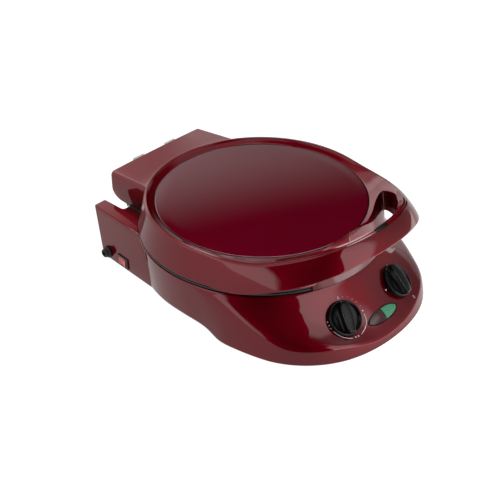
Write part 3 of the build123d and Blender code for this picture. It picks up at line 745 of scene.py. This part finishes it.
# ------------------------------------------------------------------ hinge box cover
def make_box():
    B = Build()
    yend = 194.4
    w_of = lambda y: 83.0 + 4.5 * (193.0 - y) / 75.0

    def zb_of(y):
        return lerp(y, [170, 177, 183, 187.5, 191, 193.2, 194.4], [68.0, 68.2, 69.8, 72.4, 76.0, 80.0, 84.5])
    sec = []          # (side fraction, corner data) walked from left bottom over the top to right bottom

    def section(y, inset):
        w, zb, zt, r = w_of(y) - inset * 1.7, zb_of(y), 105.0 + 4.2 * (191.0 - min(y, 191.0)) / 50 - inset, 5.5
        pts = [(-w + 2.4, zb + 0.4), (-w + 1.2, zb), (-w + 0.2, zb + 0.5), (-w, zb + 1.6), (-w, (zb + zt - r) / 2)]
        for k in range(8):
            a = math.radians(90 * k / 7)
            pts.append((-w + r - r * math.cos(a), zt - r + r * math.sin(a)))
        top = [(-w * 0.55, zt), (-w * 0.2, zt)]
        half = pts + top
        return half + [(-x, z) for x, z in half[::-1]]
    ys = [118, 124, 131, 138, 145, 152, 160, 168, 174, 178, 181, 184, 186.5, 188.5, 190.0, 191.2]
    rows = []
    for y in ys:
        rows.append((y, 0.0))
    for k in range(1, 7):
        a = math.radians(15 * k)
        rows.append((yend - 3.0 * (1 - math.sin(a)), 2.6 * (1 - math.cos(a))))
    out = []
    for y, inset in rows:
        line = []
        for x, z in section(y, inset):
            yy = y + 1.2 * (1 - (x / 83.0) ** 2) * step(y, 150, 190)
            front = math.sqrt(max(147.2 ** 2 - x * x, 0.0))
            yy = max(yy, front + (y - 118) * 0.02)
            line.append((x, yy, z))
        out.append(line)
    v, f = loop_grid(out, closed_loop=False)
    B.add(v, f)
    # rear face and the recess for the plate underneath
    last = out[-1]
    B.poly(last)
    first = out[0]
    inner = []
    for line in out:
        a, b = line[0], line[-1]
        inner.append([a, (a[0] + 0.05, a[1], max(a[2] + 3.4, 71.8)), (b[0] - 0.05, b[1], max(b[2] + 3.4, 71.8)), b])
    v, f = loop_grid(inner, closed_loop=False)
    B.add(v, f)
    B.poly(inner[-1])
    B.poly(first[::-1] + inner[0][1:3][::1])
    return mesh_object("hinge_cover", B.v, B.f, RED, "lid", ["hinge_box_cover"], "housing_red", weld=0.01, sharp=45)


make_box()


# ------------------------------------------------------------------ knobs
def make_knob(k, turn, name, node, body):
    ca, sa = math.cos(math.radians(turn)), math.sin(math.radians(turn))
    at = lambda u, v, c: tuple(k.at(u * ca - v * sa, u * sa + v * ca, c))
    B = Build()
    prof = [(3.1, 0.1), (20.4, 0.1), (21.2, 0.2), (21.6, 0.8), (21.95, 4.4), (21.9, 5.6), (21.5, 6.4), (20.9, 6.75),
            (20.2, 6.75), (19.6, 6.35), (18.6, 5.4), (17.2, 4.7), (15.2, 4.3), (13.0, 4.1), (8.0, 4.0), (3.1, 4.0)]
    rows = [[at(r * math.cos(2 * math.pi * i / 90), r * math.sin(2 * math.pi * i / 90), c) for r, c in prof]
            for i in range(90)]
    v, f = loop_grid(rows, closed_rows=True)
    B.add(v, f)
    ob = mesh_object(name + "_skirt", B.v, B.f, BLACK_GLOSS, body, [node], "black_gloss", sharp=60)
    G = Build()
    stations = [(-19.3, 0.7), (-19.1, 0.25), (-18.6, 0.0), (-16, 0), (-12, 0), (-8, 0), (-4, 0), (0, 0), (4, 0), (8, 0),
                (12, 0), (16, 0), (18.6, 0.0), (19.1, 0.25), (19.3, 0.7)]
    rows = []
    for v0, inset in stations:
        q = abs(v0) / 19.3
        w = 6.3 - 2.6 * q ** 2.2 - inset * 0.7
        foot = 6.2 - 2.6 * q ** 2
        top = 13.4 - 1.5 * q ** 2.4 - inset
        sec = [(-(w + foot), 2.6), (-(w + foot * 0.80), 4.15), (-(w + foot * 0.52), 5.0), (-(w + foot * 0.30), 6.6),
               (-(w + foot * 0.15), 8.8), (-(w + foot * 0.06), top - 1.5), (-(w + 0.06), top - 0.5), (-(w - 0.35), top - 0.1),
               (-(w - 1.2), top), (-w * 0.4, top + 0.25)]
        sec = sec + [(-u, c) for u, c in sec[::-1]]
        rows.append([at(u, v0, c) for u, c in sec])
    G.tube(rows)
    mesh_object(name + "_grip", G.v, G.f, BLACK_GLOSS, body, (), "black_gloss", sharp=48)
    # painted highlights: lighter grey strips along one top edge of the bar and along an arc of the rim
    E = Build()
    # the knob's turn picks which bar edge and which rim arc carry the painted highlight
    side = -1 if turn < 90 else 1
    rows = []
    for i in range(17):
        v0 = -16.8 + 2.1 * i
        q = abs(v0) / 19.3
        w, top = 6.3 - 2.6 * q ** 2.2, 13.4 - 1.5 * q ** 2.4
        r = 0.26 * (1 - (abs(v0) / 17.0) ** 6)
        rows.append([at(side * (w - 0.2) + r * math.cos(t), v0, top - 0.3 + r * math.sin(t)) for t in
                     [math.radians(60 * k) for k in range(6)]])
    E.tube(rows)
    rows = []
    for i in range(21):
        t0 = math.radians((196 if turn < 90 else 16) + 5.2 * i)
        r = 0.22 * (1 - (abs(i - 10) / 10.5) ** 4)
        rows.append([at((20.2 + r * math.cos(t)) * math.cos(t0), (20.2 + r * math.cos(t)) * math.sin(t0),
                        6.7 + r * math.sin(t)) for t in [math.radians(60 * k) for k in range(6)]])
    E.tube(rows)
    mesh_object(name + "_painted_highlights", E.v, E.f, EDGE_HIGHLIGHT, body, (), "black_gloss", sharp=80)
    P = Build()
    box = [(-3.1, 10.0), (3.1, 10.0), (3.1, 11.0), (-3.1, 11.0)]
    P.tube([[at(u, 18.9, c) for u, c in box], [at(u, 19.45, c) for u, c in box]])
    mesh_object(name + "_pointer", P.v, P.f, PRINT, body, (), "grey_rubber", sharp=30)
    return ob


make_knob(KL, TURN_L, "knob_left", "thermostat_knob", "thermostat_control")
make_knob(KR, TURN_R, "knob_right", "selector_knob", "selector_control")


# ------------------------------------------------------------------ dial marks
def mark(B, k, a, b, r, lift=0.12):
    n = 14
    top = [tuple(on_panel(k, a + r * math.cos(2 * math.pi * i / n), b + r * math.sin(2 * math.pi * i / n), lift))
           for i in range(n)]
    low = [tuple(Vector(q) - k.n * 0.35) for q in top]
    B.tube([low, top])


def band(B, k, pts, w, lift=0.12):
    """A printed line along local points."""
    rows = []
    for i, (a, b) in enumerate(pts):
        p, q = Vector(pts[max(i - 1, 0)]), Vector(pts[min(i + 1, len(pts) - 1)])
        d = (q - p).normalized()
        nx, ny = -d.y * w / 2, d.x * w / 2
        l, r = on_panel(k, a + nx, b + ny, lift), on_panel(k, a - nx, b - ny, lift)
        rows.append([tuple(l), tuple(r), tuple(r - k.n * 0.35), tuple(l - k.n * 0.35)])
    B.tube(rows)


def curve(pts, n=5):
    """Smooth line through local points."""
    out = []
    for i in range(len(pts) - 1):
        p0, p1, p2, p3 = (Vector(pts[max(i + k, 0)] if i + k < len(pts) else pts[-1]) for k in (-1, 0, 1, 2))
        for j in range(n):
            t = j / n
            out.append(tuple(0.5 * ((2 * p1) + (p2 - p0) * t + (2 * p0 - 5 * p1 + 4 * p2 - p3) * t * t
                                    + (3 * p1 - p0 - 3 * p2 + p3) * t ** 3)))
    return out + [tuple(pts[-1])]


M = Build()
# left dial: a nought, small dots growing clockwise, two arcs
band(M, KL, [(11.4 + 0.9 * math.cos(t) + 0.5 * math.sin(t), 22.8 + 1.5 * math.sin(t) - 0.3 * math.cos(t)) for t in
             [math.radians(10 + 36 * i) for i in range(11)]], 0.5)
for a, b, r in ((17.5, 20.0, 0.42), (22.4, 16.0, 0.48), (26.0, 10.0, 0.48), (28.2, 3.9, 0.42), (29.0, -2.7, 0.35),
                (27.8, -9.1, 0.85), (-1.0, -26.5, 0.95), (-5.1, -25.1, 0.95), (-21.5, 2.0, 1.0), (-20.6, 6.3, 1.0),
                (-19.1, 10.3, 1.0)):
    mark(M, KL, a, b, r)
band(M, KL, curve([(26.3, -13.5), (24.7, -17.9), (22.0, -21.3), (17.8, -24.3), (11.7, -26.6), (3.9, -27.5)]), 0.7)
band(M, KL, curve([(-9.7, -23.6), (-14.3, -19.6), (-17.9, -14.9), (-20.6, -8.9), (-21.9, -2.4)]), 0.8)
# right dial: four plain positions
band(M, KR, [(-1.3, 23.6), (0.1, 21.9)], 0.5)
mark(M, KR, 18.3, 19.2, 0.35)
mark(M, KR, -23.6, -5.2, 1.25)
band(M, KR, [(10.9, -25.6), (13.0, -25.4), (13.1, -27.0), (11.1, -27.2), (11.2, -28.8), (13.3, -28.6)], 0.55)
mesh_object("dial_marks", M.v, M.f, PRINT, "base", (), "grey_rubber", sharp=30)


# ------------------------------------------------------------------ indicator lens
def oval_half(t, a, b):
    """Half width of the pointed oval at a fraction along it, slightly rounded at the tips."""
    return b * max(1 - abs(t) ** 2.4, 0.0) ** 0.66


def make_lens():
    A0, B0 = 28.0, 8.8
    ring = []
    n = 48
    ts = [math.sin(math.radians(-90 + 180 * i / n)) for i in range(n + 1)]

    def outline(a, b, lift):
        up = [(a * t, oval_half(t, a, b)) for t in ts]
        dn = [(a * t, -oval_half(t, a, b)) for t in ts[::-1]][1:-1]
        return [tuple(on_panel(KN, u, v, lift)) for u, v in up + dn]
    R = Build()
    rows = [outline(A0, B0, -1.2), outline(A0, B0, 0.35), outline(A0 - 0.35, B0 - 0.35, 0.75),
            outline(A0 - 1.2, B0 - 1.1, 0.75), outline(A0 - 1.8, B0 - 1.6, 0.2), outline(A0 - 1.9, B0 - 1.7, -1.6)]
    v, f = loop_grid([list(c) for c in zip(*rows)], closed_rows=True)
    R.add(v, f)
    mesh_object("lens_rim", R.v, R.f, BLACK_GLOSS, "base", ["indicator_rim"], "black_gloss", sharp=50)
    for s, name, mat, node, slot in ((-1, "lens_left", LENS_RED, "indicator_lens_red", "lens_red"),
                                     (1, "lens_right", LENS_GREEN, "indicator_lens_green", "lens_green")):
        L = Build()
        a1, b1 = A0 - 1.85, B0 - 1.65
        cols = [0.0, 0.02, 0.05] + [0.05 + 0.95 * math.sin(math.radians(90 * i / 14)) for i in range(1, 15)]
        js = [-1, -0.97, -0.85, -0.6, -0.3, 0, 0.3, 0.6, 0.85, 0.97, 1]
        rows = []
        for i, t in enumerate(cols):
            hw = max(oval_half(t, a1, b1), 0.02)
            line = []
            for j in js:
                dome = 1.25 * (1 - (0.8 * j) ** 2) * (1 - 0.75 * t ** 2)
                edge = -0.5 if abs(j) > 0.99 or i == 0 or i == len(cols) - 1 else dome
                line.append(tuple(on_panel(KN, s * (0.12 + t * (a1 - 0.2)), j * hw, edge)))
            rows.append(line)
        v, f = loop_grid(rows, closed_loop=False)
        L.add(v, f)
        under = [[tuple(Vector(q) - KN.n * 2.6) for q in line] for line in rows]
        v, f = loop_grid(under, closed_loop=False)
        L.add(v, f)
        ni, nj = len(cols), len(js)
        edge = [(0, j) for j in range(nj)] + [(i, nj - 1) for i in range(1, ni)] + \
            [(ni - 1, j) for j in range(nj - 2, -1, -1)] + [(i, 0) for i in range(ni - 2, 0, -1)]
        for q in range(len(edge)):
            x, y = edge[q], edge[(q + 1) % len(edge)]
            L.poly([rows[x[0]][x[1]], rows[y[0]][y[1]], under[y[0]][y[1]], under[x[0]][x[1]]])
        mesh_object(name, L.v, L.f, mat, "base", [node], slot, weld=0.003, sharp=45)


make_lens()

# ------------------------------------------------------------------ finish of the carried-over CAD nodes
FINISH = {
    "base_bottom_cover": (BLACK_SATIN, 0.4), "rear_arm_cover_left": (BLACK_SATIN, 0.3),
    "rear_arm_cover_right": (BLACK_SATIN, 0.3), "hinge_blocks": (BLACK_SATIN, 0.5), "hinge_box_base": (BLACK_SATIN, 0.5),
    "switch_bezel": (BLACK_SATIN, 0.35), "switch_rocker": (ROCKER, 0.35), "cord_gland": (RUBBER_BLACK, 0.5),
    "front_feet": (RUBBER_BLACK, 0.5), "rear_feet": (RUBBER_BLACK, 0.4), "rear_bumpers": (RUBBER_GREY, 0.45),
    "lower_baking_plate": (COATED, 0.5), "upper_baking_plate": (COATED, 0.5),
    "lower_heating_element": (STEEL, 0), "upper_heating_element": (STEEL, 0), "lower_plate_studs": (STEEL, 0),
    "upper_plate_studs": (STEEL, 0), "lower_spacer_tubes": (STEEL, 0), "upper_spacer_tubes": (STEEL, 0),
    "heat_shield_legs": (STEEL, 0), "hinge_rod": (STEEL, 0.3), "thermostat_shaft": (STEEL, 0), "selector_shaft": (STEEL, 0),
    "base_bottom_screws": (STEEL, 0.2), "rear_arm_screws": (STEEL, 0.2), "hinge_box_screws": (STEEL, 0.2),
    "lower_heat_shield": (SHEET, 0), "upper_heat_shield": (SHEET, 0), "thermostat": (CERAMIC, 0),
    "function_selector": (CERAMIC, 0), "terminal_block": (CERAMIC, 0), "indicator_lamps": (LAMP, 0),
    "base_housing": (RED, 0), "lid_shell": (RED, 0), "rear_arm_left": (RED, 0), "rear_arm_right": (RED, 0),
    "hinge_box_cover": (RED, 0), "lid_disc": (RED_DISC, 0), "handle_insert": (BLACK_SATIN, 0),
    "thermostat_knob": (BLACK_GLOSS, 0), "selector_knob": (BLACK_GLOSS, 0), "indicator_rim": (BLACK_GLOSS, 0),
    "indicator_lens_red": (LENS_RED, 0), "indicator_lens_green": (LENS_GREEN, 0),
}
for name, ob in NODE.items():
    mat, width = FINISH[name]
    if len(ob.material_slots) == 0:
        ob.data.materials.append(mat)
    for s in ob.material_slots:
        s.material = mat
    if width and not ob.hide_render:
        w = ob.modifiers.new("join", "WELD")
        w.merge_threshold = 1e-5
        b = ob.modifiers.new("edge", "BEVEL")
        b.width, b.segments, b.limit_method, b.angle_limit = width / 1000, 2, "ANGLE", math.radians(40)
        b.harden_normals = False
        wn = ob.modifiers.new("normals", "WEIGHTED_NORMAL")
        wn.keep_sharp = False

# ------------------------------------------------------------------ stage, light, camera
floor_me = bpy.data.meshes.new("floor")
floor_me.from_pydata([(-6, -6, 0), (6, -6, 0), (6, 6, 0), (-6, 6, 0)], [], [(0, 1, 2, 3)])
floor = bpy.data.objects.new("floor", floor_me)
bpy.context.scene.collection.objects.link(floor)
fm = Mat("floor_white")
fm.link(fm.ramp(fm.noise(3.0, 2.0), [(0.3, (0.10, 0.10, 0.10)), (0.7, (0.11, 0.11, 0.11))]), fm.p.inputs["Base Color"])
fm.set(Roughness=0.9)
fm.p.inputs["Emission Color"].default_value = (1, 1, 1, 1)
# a light pool at the front right
px = fm.node("ShaderNodeSeparateXYZ")
fm.link(fm.co, px.inputs[0])


def pool(src, a, b, lo, hi):
    g = fm.node("ShaderNodeMapRange", interpolation_type="SMOOTHSTEP")
    for key, val in (("From Min", a), ("From Max", b), ("To Min", lo), ("To Max", hi)):
        g.inputs[key].default_value = val
    fm.link(src, g.inputs["Value"])
    return g.outputs[0]


painted_glow = fm.node("ShaderNodeMath", operation="MULTIPLY")
fm.link(pool(px.outputs[0], -0.16, 0.14, 0.0, 1.9), painted_glow.inputs[0])
fm.link(pool(px.outputs[1], -0.27, -0.16, 1.0, 0.0), painted_glow.inputs[1])
base_glow = fm.node("ShaderNodeMath", operation="ADD")
fm.link(painted_glow.outputs[0], base_glow.inputs[0])
base_glow.inputs[1].default_value = 0.97


def combo(kx, ky):
    """kx * x + ky * y of the floor."""
    a = fm.node("ShaderNodeMath", operation="MULTIPLY")
    fm.link(px.outputs[0], a.inputs[0])
    a.inputs[1].default_value = kx
    b = fm.node("ShaderNodeMath", operation="MULTIPLY_ADD")
    fm.link(px.outputs[1], b.inputs[0])
    b.inputs[1].default_value = ky
    fm.link(a.outputs[0], b.inputs[2])
    return b.outputs[0]


# its far part, between two edges that spread from the object
far = pool(combo(0.438, -0.899), 0.44, 0.66, 0.0, 3.6)
for edge in (combo(1.013, 0.204), combo(-0.785, -0.672)):
    m = fm.node("ShaderNodeMath", operation="MULTIPLY")
    fm.link(far, m.inputs[0])
    fm.link(pool(edge, -0.03, 0.05, 0.0, 1.0), m.inputs[1])
    far = m.outputs[0]
both = fm.node("ShaderNodeMath", operation="ADD")
fm.link(base_glow.outputs[0], both.inputs[0])
fm.link(far, both.inputs[1])
fm.link(both.outputs[0], fm.p.inputs["Emission Strength"])
floor_me.materials.append(fm.m)

world = bpy.data.worlds.new("studio")
bpy.context.scene.world = world
world.use_nodes = True
wt = world.node_tree
wt.nodes.clear()
wo = wt.nodes.new("ShaderNodeOutputWorld")
bg = wt.nodes.new("ShaderNodeBackground")
wt.links.new(bg.outputs[0], wo.inputs[0])
tc = wt.nodes.new("ShaderNodeTexCoord")
sp = wt.nodes.new("ShaderNodeSeparateXYZ")
wt.links.new(tc.outputs["Generated"], sp.inputs[0])


def wmath(op, a, b=None):
    m = wt.nodes.new("ShaderNodeMath")
    m.operation = op
    for i, x in enumerate((a, b)):
        if x is None:
            continue
        if isinstance(x, (int, float)):
            m.inputs[i].default_value = x
        else:
            wt.links.new(x, m.inputs[i])
    return m.outputs[0]


def mul(*xs):
    out = xs[0]
    for x in xs[1:]:
        out = wmath("MULTIPLY", out, x)
    return out


def add(*xs):
    out = xs[0]
    for x in xs[1:]:
        out = wmath("ADD", out, x)
    return out


def rise(x, a, b, lo=0.0, hi=1.0):
    """Smooth step of x from a to b."""
    r = wt.nodes.new("ShaderNodeMapRange")
    r.interpolation_type = "SMOOTHSTEP"
    for key, val in (("From Min", a), ("From Max", b), ("To Min", lo), ("To Max", hi)):
        r.inputs[key].default_value = val
    wt.links.new(x, r.inputs["Value"])
    return r.outputs[0]


def fall(x, a, b, hi=1.0, lo=0.0):
    return rise(x, a, b, hi, lo)


HAIR = 9.5
# height above the horizon, and direction from the front towards the right, in degrees
EL = wmath("MULTIPLY", wmath("ARCSINE", sp.outputs[2]), 57.29578)
AZ = wmath("MULTIPLY", wmath("ARCTAN2", sp.outputs[0], wmath("MULTIPLY", sp.outputs[1], -1.0)), 57.29578)
sub = lambda a, b: wmath("SUBTRACT", a, b)
LEFT = fall(AZ, -1.0, 1.0)           # left half of the room
RIGHT = rise(AZ, -1.0, 1.0)

# soft box at the front right, with a sharp left edge that leans over to the right at the top
edge_l = rise(EL, 40, 66, -15.5, 16.0)
edge_r = add(rise(EL, 24, 44, 18.0, 41.0), 0.0)
in_box = rise(sub(AZ, edge_l), -1.0, 1.2)
core = mul(in_box, fall(sub(AZ, edge_r), -7.0, 9.0), fall(EL, 62.0, 67.0), fall(EL, 46.0, 54.0, 2.55, 1.9))
spill = mul(in_box, fall(AZ, 84.0, 94.0), fall(EL, 60.0, 70.0), fall(AZ, 44.0, 82.0, 0.78, 0.42))
foot = mul(in_box, fall(AZ, 4.0, 22.0), fall(EL, 5.0, 9.0), 3.5)
# left soft box
edge_d = add(rise(EL, 12, 34, -80.0, -88.0), rise(EL, 42, 62, 0.0, 28.0))
lit_l = mul(LEFT, fall(sub(AZ, edge_d), -3.0, 3.0), fall(EL, 62.0, 78.0))
left_level = add(1.55, mul(rise(AZ, -132, -108), fall(EL, 24, 34), 1.2), mul(rise(AZ, -104, -88), rise(EL, 36, 46), 0.75),
                 mul(fall(AZ, -150, -120), rise(EL, 42, 52), -0.55))
# wall behind
edge_b = add(mul(AZ, 0.174), 9.7)
back_r = mul(RIGHT, add(rise(AZ, 117, 130, 0.0, 1.15), rise(AZ, 129, 148, 0.0, 1.0),
                        mul(rise(AZ, 138, 141), fall(EL, 27, 30), -0.95)),
             fall(sub(EL, edge_b), -3.4, 0.4))
back_r2 = mul(RIGHT, rise(AZ, 144, 152), add(fall(EL, 41.0, 45.0, 0.95, 0.0), fall(EL, 48.0, 54.0, 0.35, 0.0)))
# side wall at the right
side_r = mul(rise(AZ, 84, 88), fall(AZ, 97, 104), fall(EL, 22.0, 29.0), 0.95)
# ceiling and the high light at the back
hair = mul(RIGHT, rise(AZ, 111, 118), fall(AZ, 142, 150), rise(EL, 41.5, 43.5), fall(EL, 56.5, 59.5), HAIR)
dome_side = mul(RIGHT, rise(AZ, 58, 74), fall(AZ, 122, 140), rise(EL, 44.0, 52.0), 0.65)
dome_top = mul(rise(EL, 74.0, 80.0), 1.05)
total = add(core, spill, foot, mul(lit_l, left_level), back_r, back_r2, side_r, hair, dome_side,
            dome_top, 0.01)
wt.links.new(total, bg.inputs["Strength"])
bg.inputs["Color"].default_value = (1, 1, 1, 1)

cam_data = bpy.data.cameras.new("camera")
cam = bpy.data.objects.new("camera", cam_data)
bpy.context.scene.collection.objects.link(cam)
cam.location = (-0.9129, -0.8094, 0.8690)
cam.rotation_euler = (math.radians(55.55), math.radians(0.0), math.radians(-47.40))
cam_data.sensor_width = 36.0
cam_data.lens = 1140.3 / 500 * 36
cam_data.clip_start, cam_data.clip_end = 0.01, 50
bpy.context.scene.camera = cam
bpy.context.scene.view_settings.view_transform = "Standard"
